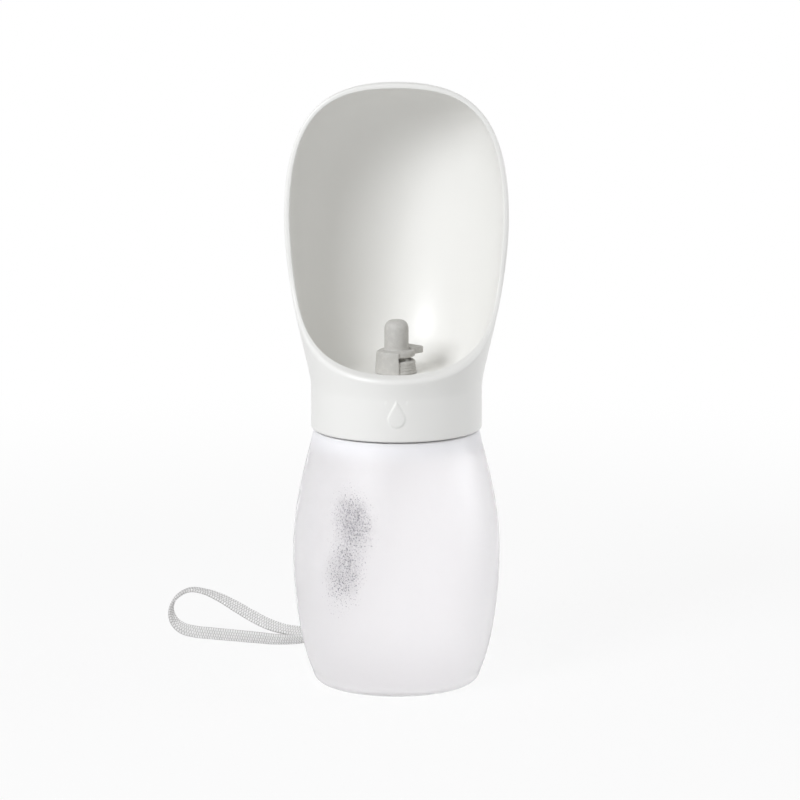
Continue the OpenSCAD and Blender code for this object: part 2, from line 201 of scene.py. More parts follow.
def joined(name, *objs):
    bpy.ops.object.select_all(action="DESELECT")
    for o in objs:
        o.select_set(True)
    bpy.context.view_layer.objects.active = objs[0]
    bpy.ops.object.join()
    objs[0].name = objs[0].data.name = name
    return objs[0]


def applied(obj, kind, **settings):
    """A modifier put on and applied."""
    only(obj)
    m = obj.modifiers.new(kind.title(), kind)
    for key, value in settings.items():
        setattr(m, key, value)
    bpy.ops.object.modifier_apply(modifier=m.name)
    return obj


def shaded(obj, angle=None):
    """Smooth shading all over, or only across edges flatter than an angle in degrees."""
    only(obj)
    if angle is None:
        bpy.ops.object.shade_smooth()
    else:
        bpy.ops.object.shade_smooth_by_angle(angle=math.radians(angle))
    return obj


def finished(obj, body, nodes, material):
    """A piece given its material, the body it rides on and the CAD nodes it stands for."""
    obj.data.materials.clear()
    obj.data.materials.append(material)
    if body:
        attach(obj, body)
    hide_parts(*nodes)
    return obj


# Shader tools

def add(tree, kind, links=(), out=0, **settings):
    """A shader node with its settings; an input is a number, a colour or another node's output. Returns an output."""
    node = tree.nodes.new("ShaderNode" + kind)
    for key, value in settings.items():
        setattr(node, key, value)
    for key, value in (links if isinstance(links, dict) else dict(enumerate(links))).items():
        if isinstance(value, bpy.types.NodeSocket):
            tree.links.new(value, node.inputs[key])
        else:
            node.inputs[key].default_value = value
    return node if out is None else node.outputs[out]


def material(name, surface):
    """A material of one Principled BSDF with the given constants, and what its patterns are built from."""
    m = bpy.data.materials.new(name)
    m.use_nodes = True
    tree = m.node_tree
    tree.nodes.clear()
    shader = add(tree, "BsdfPrincipled", surface, None)
    add(tree, "OutputMaterial", {"Surface": shader.outputs["BSDF"]}, None)
    return m, tree, shader, add(tree, "TexCoord", out="Object")


def rgba(c):
    return (*c, 1.0)


def drifting(tree, factor, tone, share):
    """A colour that drifts between a tone and a share of it."""
    ends = {0: factor, 6: rgba(tone), 7: rgba([min(1, c * share) for c in tone])}
    return add(tree, "Mix", ends, 2, data_type="RGBA")


def finish_with(tree, shader, tint, height, strength, depth_mm):
    """The material's colour, and its relief as a bump of a depth in millimetres."""
    tree.links.new(tint, shader.inputs["Base Color"])
    relief = {"Height": height, "Strength": strength, "Distance": depth_mm * MM}
    tree.links.new(add(tree, "Bump", relief), shader.inputs["Normal"])


def oval(tree, place, middle, radii, tilt, peak):
    """A soft oval on a piece: its peak in the middle and nothing at its radii, given in millimetres."""
    put = add(tree, "Mapping", {
        "Vector": place, "Location": [c * MM for c in middle], "Rotation": (0, math.radians(tilt), 0),
        "Scale": [r * MM for r in radii],
    }, vector_type="TEXTURE")
    far = add(tree, "VectorMath", (put,), "Value", operation="LENGTH")
    return add(tree, "MapRange", (far, 0.5, 1.0, peak, 0.0), interpolation_type="SMOOTHSTEP")


def humps(tree, value):
    """Rises and falls once for every whole step of a value."""
    turn = add(tree, "Math", (value, math.pi), operation="MULTIPLY")
    return add(tree, "Math", (add(tree, "Math", (turn,), operation="SINE"),), operation="ABSOLUTE")


def moulded_white(colours):
    """Injection-moulded white polypropylene: satin, with the faint spark-eroded grain of the tool."""
    m, tree, shader, place = material(
        "polypropylene_moulded_white",
        {"Roughness": 0.42, "IOR": 1.49, "Specular IOR Level": 0.4, "Coat Weight": 0.3, "Coat Roughness": 0.3},
    )
    cloud = add(tree, "TexNoise", {"Vector": place, "Scale": 0.03 / MM, "Detail": 3})
    grain = add(tree, "TexNoise", {"Vector": place, "Scale": 2.6 / MM, "Detail": 3, "Roughness": 0.6})
    wave = add(tree, "TexNoise", {"Vector": place, "Scale": 0.16 / MM, "Detail": 1})
    height = add(tree, "Math", (wave, 2.0, grain), operation="MULTIPLY_ADD")
    finish_with(tree, shader, drifting(tree, cloud, colours.head, 0.985), height, 0.12, 0.06)
    return m


def moulded_inner(colours):
    """The same polypropylene from a plainer tool, inside the collar where only the neck sees it."""
    m, tree, shader, place = material("polypropylene_moulded_inner", {"Roughness": 0.5, "IOR": 1.49})
    cloud = add(tree, "TexNoise", {"Vector": place, "Scale": 0.05 / MM})
    grain = add(tree, "TexNoise", {"Vector": place, "Scale": 2.0 / MM})
    finish_with(tree, shader, drifting(tree, cloud, colours.sleeve, 0.96), grain, 0.1, 0.06)
    return m


FRONT_ONLY = (-0.020, -0.012)      # depths in metres between which the patch of painted reflection specks fades to the sides
SHOULDER_FADE = (0.085, 0.0915)    # heights in metres between which the bottle's wall turns milky


def frosted_bottle(colours):
    """Blow-moulded polyethylene: milky, frosted by a fine grain, with a painted reflection on the front: dark specks
    in a patch where the grain is also coarser.
    """
    m, tree, shader, place = material(
        "polyethylene_blown_frosted", {"Roughness": 0.58, "IOR": 1.32, "Coat Weight": 0.4, "Coat Roughness": 0.35}
    )
    _, depth, rise = add(tree, "SeparateXYZ", (place,), None).outputs
    # The patch where the reflection is painted as specks, and where the bump is coarser
    upper = oval(tree, place, (-14.8, 0, 64), (13.0, 60, 21), -4, 1.0)
    lower = oval(tree, place, (-17.5, 0, 49), (12.0, 60, 27), 8, 0.9)
    front = add(tree, "MapRange", (depth, *FRONT_ONLY, 1.0, 0.0), interpolation_type="SMOOTHSTEP")
    patch = add(tree, "Math", (add(tree, "Math", (upper, lower), operation="MAXIMUM"), front), operation="MULTIPLY")
    # Painted reflection as dark specks of about half a millimetre
    grit = add(tree, "TexNoise", {"Vector": place, "Scale": 2.2 / MM, "Roughness": 0.6})
    dense = add(tree, "Math", (patch, 0.2, grit), operation="MULTIPLY_ADD")
    reflection_speck = add(tree, "MapRange", (dense, 0.66, 0.8, 0.0, 1.0), interpolation_type="SMOOTHSTEP")
    near = add(tree, "MapRange", (patch, 0.0, 0.15, 0.0, 1.0), interpolation_type="SMOOTHSTEP")
    reflection_speck = add(tree, "Math", (reflection_speck, near), operation="MULTIPLY")
    milk = drifting(tree, add(tree, "TexNoise", {"Vector": place, "Scale": 0.02 / MM}), colours.bottle, 0.985)
    # Painted reflection: the dark speck colour mixed over the milky tone
    tint = add(tree, "Mix", {0: reflection_speck, 6: milk, 7: rgba(colours.reflection_speck)}, 2, data_type="RGBA")
    clear = add(tree, "MapRange", (rise, *SHOULDER_FADE, 1.0, 0.2), interpolation_type="SMOOTHSTEP")
    tree.links.new(clear, shader.inputs["Transmission Weight"])
    grain = add(tree, "TexNoise", {"Vector": place, "Scale": 1.9 / MM, "Detail": 3, "Roughness": 0.6})
    peel = add(tree, "TexNoise", {"Vector": place, "Scale": 0.28 / MM})
    height = add(tree, "Math", (peel, 1.6, grain), operation="MULTIPLY_ADD")
    rough = add(tree, "Math", (grit, patch), operation="MULTIPLY")
    finish_with(tree, shader, tint, add(tree, "Math", (rough, 5.0, height), operation="MULTIPLY_ADD"), 0.25, 0.08)
    return m


def soft_silicone(colours):
    """Compression-moulded silicone rubber: matte and a little dusty."""
    m, tree, shader, place = material(
        "silicone_moulded_grey", {"Roughness": 0.48, "IOR": 1.43, "Specular IOR Level": 0.45}
    )
    cloud = add(tree, "TexNoise", {"Vector": place, "Scale": 0.5 / MM, "Detail": 4, "Roughness": 0.65})
    dust = add(tree, "MapRange", (cloud, 0.4, 0.75, 0.0, 1.0), interpolation_type="SMOOTHSTEP")
    grain = add(tree, "TexNoise", {"Vector": place, "Scale": 3.0 / MM})
    finish_with(tree, shader, drifting(tree, dust, colours.silicone, 1.12), grain, 0.1, 0.04)
    return m


def clear_silicone(colours):
    """Clear silicone, die-cut from sheet: milky and soft, for the gasket in the neck."""
    m, tree, shader, place = material(
        "silicone_sheet_clear", {"Roughness": 0.35, "IOR": 1.43, "Transmission Weight": 0.6}
    )
    cloud = add(tree, "TexNoise", {"Vector": place, "Scale": 0.2 / MM})
    grain = add(tree, "TexNoise", {"Vector": place, "Scale": 1.5 / MM})
    finish_with(tree, shader, drifting(tree, cloud, colours.gasket, 0.94), grain, 0.1, 0.05)
    return m


def woven_tape(colours):
    """Woven polyester tape: soft and matte, in columns of cells set half a cell apart, with shaded grooves."""
    m, tree, shader, place = material(
        "polyester_woven_tape",
        {"Roughness": 0.78, "Specular IOR Level": 0.3, "Sheen Weight": 0.25, "Sheen Roughness": 0.5},
    )
    along, across, _ = add(tree, "SeparateXYZ", (add(tree, "UVMap", uv_map="UVMap"),), None).outputs
    # Cells 1 mm long and 1.15 mm wide
    column = add(tree, "Math", (across, 0.87), operation="MULTIPLY")
    number = add(tree, "Math", (column,), operation="FLOOR")
    yarn = humps(tree, column)
    rib = humps(tree, add(tree, "Math", (number, 0.5, along), operation="MULTIPLY_ADD"))
    fluff = add(tree, "TexNoise", {"Vector": place, "Scale": 4.0 / MM, "Detail": 3, "Roughness": 0.7})
    rows, columns, soft = (
        add(tree, "MapRange", limits, interpolation_type="SMOOTHSTEP")
        for limits in ((rib, 0.0, 0.8, 0.0, 1.0), (yarn, 0.0, 0.6, 0.5, 1.0), (fluff, 0.25, 0.6, 0.75, 1.0))
    )
    cell = add(tree, "Math", (rows, columns), operation="MULTIPLY")
    groove = add(tree, "Math", (cell, soft), operation="MULTIPLY")
    tint = add(
        tree, "Mix", {0: groove, 6: rgba(colours.tape_groove), 7: rgba(colours.tape)}, 2, data_type="RGBA"
    )
    high = add(tree, "Math", (cell, 1.5), operation="MULTIPLY")
    finish_with(tree, shader, tint, add(tree, "Math", (fluff, 0.5, high), operation="MULTIPLY_ADD"), 0.6, 0.15)
    return m


def sewing_thread(colours):
    """Spun polyester thread: off-white with a twist."""
    m, tree, shader, place = material("polyester_spun_thread", {"Roughness": 0.7, "Sheen Weight": 0.2})
    cloud = add(tree, "TexNoise", {"Vector": place, "Scale": 3.0 / MM})
    twist = add(tree, "TexNoise", {"Vector": place, "Scale": 5.0 / MM, "Detail": 1})
    finish_with(tree, shader, drifting(tree, cloud, colours.thread, 0.85), twist, 0.3, 0.05)
    return m


# Sizes and colours a user would change

class BottleSizes(bpy.types.PropertyGroup):
    body_d: length("Body width", 75.5, "Greatest width of the squeezed barrel")
    wall: length("Wall", 1.6, "Thickness of the blown wall")
    foot_d: length("Foot ring", 51.3, "Middle of the ring that the bottle stands on")
    neck_r: length("Neck radius", 24.6, "Radius of the threaded neck")
    pitch: length("Thread pitch", 4.0, "Rise of the thread in one turn")


class HeadSizes(bpy.types.PropertyGroup):
    collar_r: length("Collar radius", 31.0, "Outer radius of the collar")
    wide_r: length("Scoop radius", 40.5, "Greatest radius of the scoop")
    wall: length("Wall", 2.0, "Thickness of the moulded wall")
    lip_round: length("Lip rounding", 1.7, "How far the outer edge of the front lip is rounded")
    drop_w: length("Drop width", 7.0, "Width of the raised water drop on the collar")


class StopperSizes(bpy.types.PropertyGroup):
    knob_r: length("Knob radius", 4.4, "Radius of the silicone knob")
    ring_r: length("Ring radius", 6.8, "Radius of the ring round the spout")
    grain: length("Mould rounding", 0.16, "Voxel size that blends the moulded silicone")


class StrapSizes(bpy.types.PropertyGroup):
    width: length("Tape width", 4.6, "Width of the woven tape")
    thick: length("Tape thickness", 1.3, "Thickness of the woven tape")
    rib: length("Rib spacing", 1.0, "Distance between the cross ribs of the weave")


class Finishes(bpy.types.PropertyGroup):
    head: colour("Moulding", "#EEEDE9", "White polypropylene of the head")
    sleeve: colour("Inner moulding", "#E8E8E6", "Polypropylene of the threaded sleeve")
    bottle: colour("Bottle", "#FFFEFF", "Milky polyethylene of the bottle")
    # Colour of the specks that paint a reflection on the bottle's front
    reflection_speck: colour("Specks", "#6A6771", "Specks in the bottle's coarse patch")
    silicone: colour("Silicone", "#C3C1BC", "Grey silicone of the stopper and ring")
    gasket: colour("Gasket", "#E2E2DF", "Clear silicone of the gasket")
    tape: colour("Tape", "#F0EFED", "Woven polyester tape")
    tape_groove: colour("Tape grooves", "#BAB8B5", "Shaded yarn between the ribs")
    thread: colour("Thread", "#E9E7E1", "Sewing thread of the bar tacks")


class StudioSettings(bpy.types.PropertyGroup):
    key_power: power("Key lamp", 12.9, "Power of the large soft lamp")
    side_power: power("Side lamp", 4.8, "Power of the weak lamp at the right")
    light: colour("Light", "#F9FBFF", "Tone of the lamps, a little cooler than white")
    ambient: FloatProperty(name="Ambient", description="Strength of the even light", default=0.35, min=0.0)
    camera_height: length("Camera height", 368.1, "Height of the lens above the floor")
    camera_back: length("Camera distance", 1400.0, "Distance of the lens in front of the bottle's axis")


# Studio

CAMERA_PITCH = math.radians(10.69)
CAMERA_FOCUS = 3925.0     # focal length in pixels of the picture
CAMERA_SHIFT = 3.5 / PICTURE
SENSOR_MM = 36
LAMP_SIZE = 0.5
LAMP_TARGET = (0, 0, 0.13)
FLOOR_FADE = (0.2, 0.6)    # metres from the bottle between which the floor turns plain white


def aimed(obj, place, target):
    """An object put in a place and turned to look at a target."""
    obj.location = place
    obj.rotation_euler = (Vector(target) - Vector(place)).to_track_quat("-Z", "Y").to_euler()


def seen_directly(tree):
    """1 for a ray that looks at the background, also by way of gloss or through the bottle."""
    path = add(tree, "LightPath", out=None).outputs
    sight = add(tree, "Math", (path["Is Camera Ray"], path["Is Glossy Ray"]), operation="MAXIMUM")
    return add(tree, "Math", (sight, path["Is Transmission Ray"]), operation="MAXIMUM")


class DOGBOTTLE_OT_studio(bpy.types.Operator):
    """Camera, soft lamps, pale world and floor"""
    bl_idname = "dogbottle.studio"
    bl_label = "Studio"

    def execute(self, context):
        settings = context.scene.dogbottle_studio
        scene = context.scene
        bpy.ops.object.select_all(action="DESELECT")
        bpy.ops.object.camera_add(location=(0, -settings.camera_back, settings.camera_height))
        camera = context.object
        camera.name = "camera"
        camera.rotation_euler = (math.pi / 2 - CAMERA_PITCH, 0, 0)
        camera.data.sensor_width = SENSOR_MM
        camera.data.lens = CAMERA_FOCUS / PICTURE * SENSOR_MM
        camera.data.shift_x = CAMERA_SHIFT
        camera.data.clip_start = 0.05
        scene.camera = camera
        lamps = (
            ("key", settings.key_power, (-0.763, -0.942, 0.83)),
            ("side", settings.side_power, (1.177, 0.103, 0.338)),
        )
        for name, watts, place in lamps:
            bpy.ops.object.light_add(type="AREA")
            lamp = context.object
            lamp.name = name
            lamp.data.energy = watts
            lamp.data.size = LAMP_SIZE
            lamp.data.color = settings.light
            aimed(lamp, place, LAMP_TARGET)
        world = bpy.data.worlds.new("pale_world")
        world.use_nodes = True
        tree = world.node_tree
        tree.nodes.clear()
        strength = add(tree, "MapRange", (seen_directly(tree), 0.0, 1.0, settings.ambient, 1.0))
        back = add(tree, "Background", {"Color": (1, 1, 1, 1), "Strength": strength})
        add(tree, "OutputWorld", (back,), None)
        scene.world = world
        scene.view_settings.view_transform = "Standard"
        floor = started("floor", bpy.ops.mesh.primitive_plane_add, size=14)
        m = bpy.data.materials.new("studio_floor")
        m.use_nodes = True
        tree = m.node_tree
        tree.nodes.clear()
        matte = add(tree, "BsdfDiffuse", {"Color": (0.8, 0.8, 0.8, 1)})
        white = add(tree, "Emission", {"Color": (1, 1, 1, 1), "Strength": 1.0})
        middle = add(tree, "VectorMath", (add(tree, "TexCoord", out="Object"),), "Value", operation="LENGTH")
        far = add(tree, "MapRange", (middle, *FLOOR_FADE, 0.9, 1.0), interpolation_type="SMOOTHSTEP")
        part = add(tree, "Math", (far, seen_directly(tree)), operation="MULTIPLY")
        add(tree, "OutputMaterial", (add(tree, "MixShader", (part, matte, white)),), None)
        floor.data.materials.append(m)
        return {"FINISHED"}


# Strap

# Middle of the tape in millimetres, and the loop's roll in degrees: 90 stands it on edge, 0 lays it flat
TAIL_WAY = [
    [0, 35.4, 92], [0, 35.4, 86.5], [-0.5, 35.7, 81], [-1, 36.4, 76], [-2, 37.3, 71], [-3, 38.1, 66],
    [-4, 38.8, 61], [-5.5, 39.3, 56], [-7, 39.6, 51], [-8.5, 39.8, 46], [-10, 40, 41], [-12, 40.2, 36],
    [-14, 40.4, 31], [-16, 40.6, 26], [-18, 40.8, 21.5], [-20, 40.9, 17.5], [-22, 41.1, 14], [-24, 41.4, 10.5],
]
LOOP_WAY = [
    [-28, 41.5, 6.4], [-32, 42.1, 4.6], [-36, 42.9, 3.8], [-41, 44.6, 3.1], [-47, 46.9, 2.7], [-53, 49.1, 2.7],
    [-59, 51.4, 2.7], [-65, 53.6, 2.7], [-71, 55.8, 2.7], [-77, 58, 2.8], [-82, 59.7, 3.8], [-85.3, 60.6, 6.8],
    [-86.2, 60.9, 11.2], [-84, 60.6, 15.8], [-79, 59.6, 18.8], [-73, 58.2, 18.4], [-67, 56.4, 16.4],
    [-61, 54.6, 13.4], [-55, 52.7, 10.3], [-49, 50.7, 7.7], [-43, 48.7, 6.2], [-37, 46.8, 5.8],
    [-32, 45.4, 6.1], [-28, 44, 7.3],
]
LOOP_ROLL = [
    104, 114, 120, 114, 104, 96, 90, 88, 84, 76, 58, 34, 14, 2, -2, -10, -30, -50, -60, -54, -42, -36, -50, -72,
]
LAYER_GAP = 0.1      # half the space between the two layers of doubled tape
STEPS_A_RIB = 6      # rows of points to each rib of the tape
BAR_Y = 35.4
BAR_Z = 99.5
EYE_Z = 92.0


def smooth_way(points, rolls, step):
    """The points joined by one smooth curve, cut at even steps, with the tape's roll at each."""
    p = np.array(points, float)
    rolls = np.radians(np.array(rolls, float))
    ends = np.vstack([2 * p[0] - p[1], p, 2 * p[-1] - p[-2]])
    fine, turns = [p[0]], [rolls[0]]
    for i in range(len(p) - 1):
        a, b, c, d = ends[i:i + 4]
        for t in np.linspace(0, 1, 25)[1:]:
            fine.append(
                0.5 * (2 * b + (c - a) * t + (2 * a - 5 * b + 4 * c - d) * t * t + (3 * b - 3 * c + d - a) * t ** 3)
            )
            turns.append(rolls[i] + (rolls[i + 1] - rolls[i]) * t)
    fine, turns = np.array(fine), np.array(turns)
    run = np.concatenate([[0], np.cumsum(np.linalg.norm(np.diff(fine, axis=0), axis=1))])
    count = max(2, round(run[-1] / step))
    at = np.linspace(0, run[-1], count + 1)
    way = np.stack([np.interp(at, run, fine[:, k]) for k in range(3)], axis=1)
    return way, np.interp(at, run, turns), at


def tape_frames(way, rolls):
    """Directions across the tape and out of its face at each point of its way."""
    along = unit(np.gradient(way, axis=0))
    back = unit(np.array([0, 1.0, 0]) - along[:, 1:2] * along)
    rise = np.cross(back, along)
    across = np.cos(rolls)[:, None] * back + np.sin(rolls)[:, None] * rise
    return along, across, np.cross(across, along)


def linked_mesh(name, verts, faces):
    """A new object from points in millimetres and faces."""
    mesh = bpy.data.meshes.new(name)
    mesh.from_pydata([tuple(v * MM) for v in verts], [], faces)
    obj = bpy.data.objects.new(name, mesh)
    bpy.context.scene.collection.objects.link(obj)
    return obj


SLANT = 0.3    # how far a rib leans along the tape for each millimetre across it


def tape_mesh(name, way, across, out, at, sizes, offset=0.0):
    """Woven tape along a way: ribbed faces, toothed selvedges, closed ends, and a UV map of ribs by millimetres."""
    width, thick, rib = sizes.width / MM, sizes.thick / MM, sizes.rib / MM
    around = 30
    turn = 2 * np.pi * np.arange(around) / around
    ex = np.sign(np.cos(turn)) * np.abs(np.cos(turn)) ** 0.6
    ey = np.sign(np.sin(turn)) * np.abs(np.sin(turn)) ** 0.7
    body = smooth_step((0.86 - np.abs(ex)) / 0.12)
    seam = np.exp(-((np.abs(ex) - 0.78) / 0.05) ** 2)
    verts, faces, uvs = [], [], []
    for i, (p, w, n) in enumerate(zip(way, across, out)):
        phase = at[i] / rib + SLANT * ex * width / 2 / rib
        ridge = np.abs(np.sin(math.pi * phase))
        tooth = np.abs(np.sin(math.pi * (phase + 0.5)))
        x = ex * (width / 2 - 0.09 + 0.09 * tooth)
        dent = 0.1 * (1 - ridge) * body + 0.1 * (1 - tooth) * (1 - body) + 0.12 * seam
        y = ey * (thick / 2) * (1 - dent)
        verts.extend(p + n * offset + x[:, None] * w + y[:, None] * n)
    rings = len(way)
    for i in range(rings - 1):
        for k in range(around):
            a, b = i * around + k, i * around + (k + 1) % around
            faces.append((a, b, b + around, a + around))
            u0, u1 = at[i] / rib, at[i + 1] / rib
            v0, v1 = ex[k] * width / 2, ex[(k + 1) % around] * width / 2
            uvs.extend([(u0, v0), (u0, v1), (u1, v1), (u1, v0)])
    for first, order in ((0, -1), ((rings - 1) * around, 1)):
        faces.append(tuple(first + k for k in range(around))[::order])
        uvs.extend([(at[0 if first == 0 else -1] / rib, ex[k] * width / 2) for k in range(around)][::order])
    obj = linked_mesh(name, verts, faces)
    layer = obj.data.uv_layers.new(name="UVMap")
    layer.data.foreach_set("uv", np.array(uvs, np.float32).ravel())
    with editing(obj):
        bpy.ops.mesh.select_all(action="SELECT")
        bpy.ops.mesh.normals_make_consistent(inside=False)
    return shaded(obj)


def tail_end():
    """Where the tail ends: its point, its direction and the direction out of the tape's face."""
    run = np.array(TAIL_WAY[-1], float) - np.array(TAIL_WAY[-2], float)
    along = unit(run)
    back = unit(np.array([0, 1.0, 0]) - along[1] * along)
    rise = np.cross(back, along)
    return np.array(TAIL_WAY[-1], float), along, np.cross(rise, along)


class DOGBOTTLE_OT_strap(bpy.types.Operator):
    """Woven tape: the turn round the bar, the sewn tail and the loop on the floor"""
    bl_idname = "dogbottle.strap"
    bl_label = "Wrist strap"

    def execute(self, context):
        sizes = context.scene.dogbottle_strap
        thick = sizes.thick / MM
        layer = thick / 2 + LAYER_GAP
        step = sizes.rib / MM / STEPS_A_RIB
        finish = woven_tape(context.scene.dogbottle_finishes)
        way, rolls, at = smooth_way(TAIL_WAY, [90] * len(TAIL_WAY), step)
        _, across, out = tape_frames(way, rolls)
        layers = [tape_mesh(f"tape_layer_{s}", way, across, out, at, sizes, s * layer) for s in (1, -1)]
        tail = shaded(joined("tape_tail", *layers))
        finished(tail, "head", ["strap_tail"], finish)
        end, along, face = tail_end()
        route = [
            end - layer * face, end - layer * face + 1.4 * along, *LOOP_WAY,
            end + layer * face + 1.4 * along, end + layer * face,
        ]
        loop_way, loop_rolls, loop_at = smooth_way(route, [90, 90, *LOOP_ROLL, -90, -90], step)
        _, across, out = tape_frames(loop_way, loop_rolls)
        loop = tape_mesh("tape_loop", loop_way, across, out, loop_at, sizes)
        finished(loop, "head", ["strap_loop"], finish)
        radius = 1.3 + thick / 2
        turn = np.radians(np.linspace(0, 180, 19))
        waist = [[0, BAR_Y + layer, EYE_Z], [0, BAR_Y + layer, EYE_Z + 1.6], [0, BAR_Y + layer + 0.5, EYE_Z + 3.6]]
        over = [[0, BAR_Y + radius * math.cos(a), BAR_Z + radius * math.sin(a)] for a in turn]
        under = [[0, 2 * BAR_Y - y, z] for _, y, z in waist[::-1]]
        turns = waist + over + under
        eye_way, _, eye_at = smooth_way(turns, [0] * len(turns), step)
        run = unit(np.gradient(eye_way, axis=0))
        wide = np.tile([1.0, 0, 0], (len(eye_way), 1))
        eye = tape_mesh("tape_eye", eye_way, wide, np.cross(wide, run), eye_at, sizes)
        finished(eye, "head", ["strap_eye"], finish)
        return {"FINISHED"}


def thread_mesh(name, path, radius):
    """A round thread along a path of points."""
    path = np.array(path, float)
    along = unit(np.gradient(path, axis=0))
    side = unit(np.cross(along, [0.13, 0.97, 0.21]))
    up = np.cross(side, along)
    turn = 2 * np.pi * np.arange(8) / 8
    verts = []
    for p, a, b in zip(path, side, up):
        verts.extend(p + radius * (np.cos(turn)[:, None] * a + np.sin(turn)[:, None] * b))
    faces = [
        (i * 8 + k, i * 8 + (k + 1) % 8, (i + 1) * 8 + (k + 1) % 8, (i + 1) * 8 + k)
        for i in range(len(path) - 1) for k in range(8)
    ]
    faces += [tuple(range(8))[::-1], tuple((len(path) - 1) * 8 + k for k in range(8))]
    return linked_mesh(name, verts, faces)


TACK_LENGTH = 2.8
TACK_STITCHES = 13    # crossings of the thread in one bar tack


class DOGBOTTLE_OT_stitching(bpy.types.Operator):
    """Bar tacks that hold the doubled tape together"""
    bl_idname = "dogbottle.stitching"
    bl_label = "Stitching"

    def execute(self, context):
        sizes = context.scene.dogbottle_strap
        width = sizes.width / MM
        lift = sizes.thick / MM + LAYER_GAP + 0.08
        end, along, face = tail_end()
        side = np.cross(face, along)
        places = (
            (np.array([0, BAR_Y, 91.2]), np.array([0, 0, -1.0]), np.array([0, -1.0, 0]), np.array([-1.0, 0, 0])),
            (end - 3.6 * along, along, face, side),
        )
        tacks = []
        for start, run, out, wide in places:
            for face_side in (1, -1):
                path = []
                for t in np.arange(61) / 60:
                    sway = math.sin(t * math.pi * TACK_STITCHES) * (width / 2 - 0.75)
                    dip = 0.12 * (1 - abs(math.cos(t * math.pi * TACK_STITCHES))) ** 2
                    path.append(start + run * TACK_LENGTH * t + wide * sway + out * face_side * (lift - dip))
                tacks.append(thread_mesh("tack", path, 0.17))
        threads = closed_up(joined("tack_threads", *tacks))
        finish = sewing_thread(context.scene.dogbottle_finishes)
        finished(shaded(threads), "head", ["strap_stitching"], finish)
        return {"FINISHED"}


# Head

# Heights and radii in millimetres, as in the part's source
COLLAR_Z = 94.1
SKIRT_TOP = 109.1
UNDER_Z = 112.1
FLOOR_Z = 114.1
WIDE_Z = 170.1
TOP_Z = 219.1
FLOOR_R = 21.0
SKIRT_R = 29.0
SPOUT_R = 5.2
SPOUT_TOP = 118.5
BORE_R = 3.4
BEAD_Z = 117.24    # middle of the bead on the spout that holds the silicone ring
BOWL_MIDDLE = np.array([0.0, 0.0, 150.0])


def head_profiles(sizes):
    """The head's outer and inner half outlines, from the collar and the floor to the crown."""
    collar, wide, wall = sizes.collar_r / MM, sizes.wide_r / MM, sizes.wall / MM
    inner, top = wide - wall, TOP_Z - wall
    outside = chain(
        [collar, SKIRT_TOP],
        bezier((collar, SKIRT_TOP), (collar, 117.1), (wide, 142.6), (wide, WIDE_Z), 260),
        bezier((wide, WIDE_Z), (wide, 212.24), (22.68, TOP_Z), (0, TOP_Z), 320),
    )
    inside = chain(
        [FLOOR_R, FLOOR_Z],
        bezier((FLOOR_R, FLOOR_Z), (32, FLOOR_Z), (37.9, 142.6), (inner, WIDE_Z), 300),
        bezier((inner, WIDE_Z), (inner, 211.46), (21.945, top), (0, top), 320),
    )
    return outside, inside


def polar(profile):
    """The profile's distance from the bowl's middle by angle."""
    angle = np.arctan2(profile[:, 1] - BOWL_MIDDLE[2], profile[:, 0])
    return angle, np.hypot(profile[:, 0], profile[:, 1] - BOWL_MIDDLE[2])


def reach(points, table):
    """How far a wall is from the bowl's middle, in each point's direction."""
    d = points - BOWL_MIDDLE
    return np.interp(np.arctan2(d[..., 2], np.hypot(d[..., 0], d[..., 1])), *table)


def on_wall(points, table):
    """Points moved straight out from the bowl's middle onto a wall."""
    return BOWL_MIDDLE + unit(points - BOWL_MIDDLE) * reach(points, table)[..., None]


def wall_normal(points, table):
    """Directions straight out of a wall at each point."""
    slopes = []
    for axis in np.eye(3):
        ahead, behind = points + 0.1 * axis, points - 0.1 * axis
        slopes.append(
            np.linalg.norm(ahead - BOWL_MIDDLE, axis=1) - reach(ahead, table)
            - np.linalg.norm(behind - BOWL_MIDDLE, axis=1) + reach(behind, table)
        )
    return unit(np.stack(slopes, axis=1))


CUT_TOP = 151.4    # height above which the rim stands in the plane of the axis
RIM_CUT = chain([-33, 116.5], bezier((-33, 116.5), (-17.98, 119.6), (0, 136.91), (0, CUT_TOP), 300))


def rim_corner(profile, count):
    """The edge where the side cut leaves a wall: evenly spaced points, from the front round by the right."""
    angle, dist = polar(profile)
    fine = np.linspace(angle[0], math.pi / 2, 6000)
    r_all = np.interp(fine, angle, dist)
    r, z = r_all * np.cos(fine), BOWL_MIDDLE[2] + r_all * np.sin(fine)
    y = np.where(z > CUT_TOP, 0.0, np.interp(z, RIM_CUT[:, 1], RIM_CUT[:, 0]))
    keep = r >= np.abs(y)
    x = np.sqrt(np.maximum(r ** 2 - y ** 2, 0))
    x[-1] = 0.0
    first = int(np.argmax(keep))
    side = np.stack([x, y, z], axis=1)[first:]
    side[0, 0] = 0.0
    run = np.concatenate([[0], np.cumsum(np.linalg.norm(np.diff(side, axis=0), axis=1))])
    at = np.linspace(0, run[-1], count // 2 + 1)
    half = np.stack([np.interp(at, run, side[:, k]) for k in range(3)], axis=1)
    other = half[-2:0:-1] * [-1, 1, 1]
    return np.vstack([half, other])


def round_between(a, corner, b, steps):
    """Rows of points that round a corner between two rows, without the first."""
    return list(bezier(a, a + 0.56 * (corner - a), b + 0.56 * (corner - b), b, steps))


WALL_ROWS = 54
WALL_ROUNDS = 150    # rounds of easing that space the rows evenly


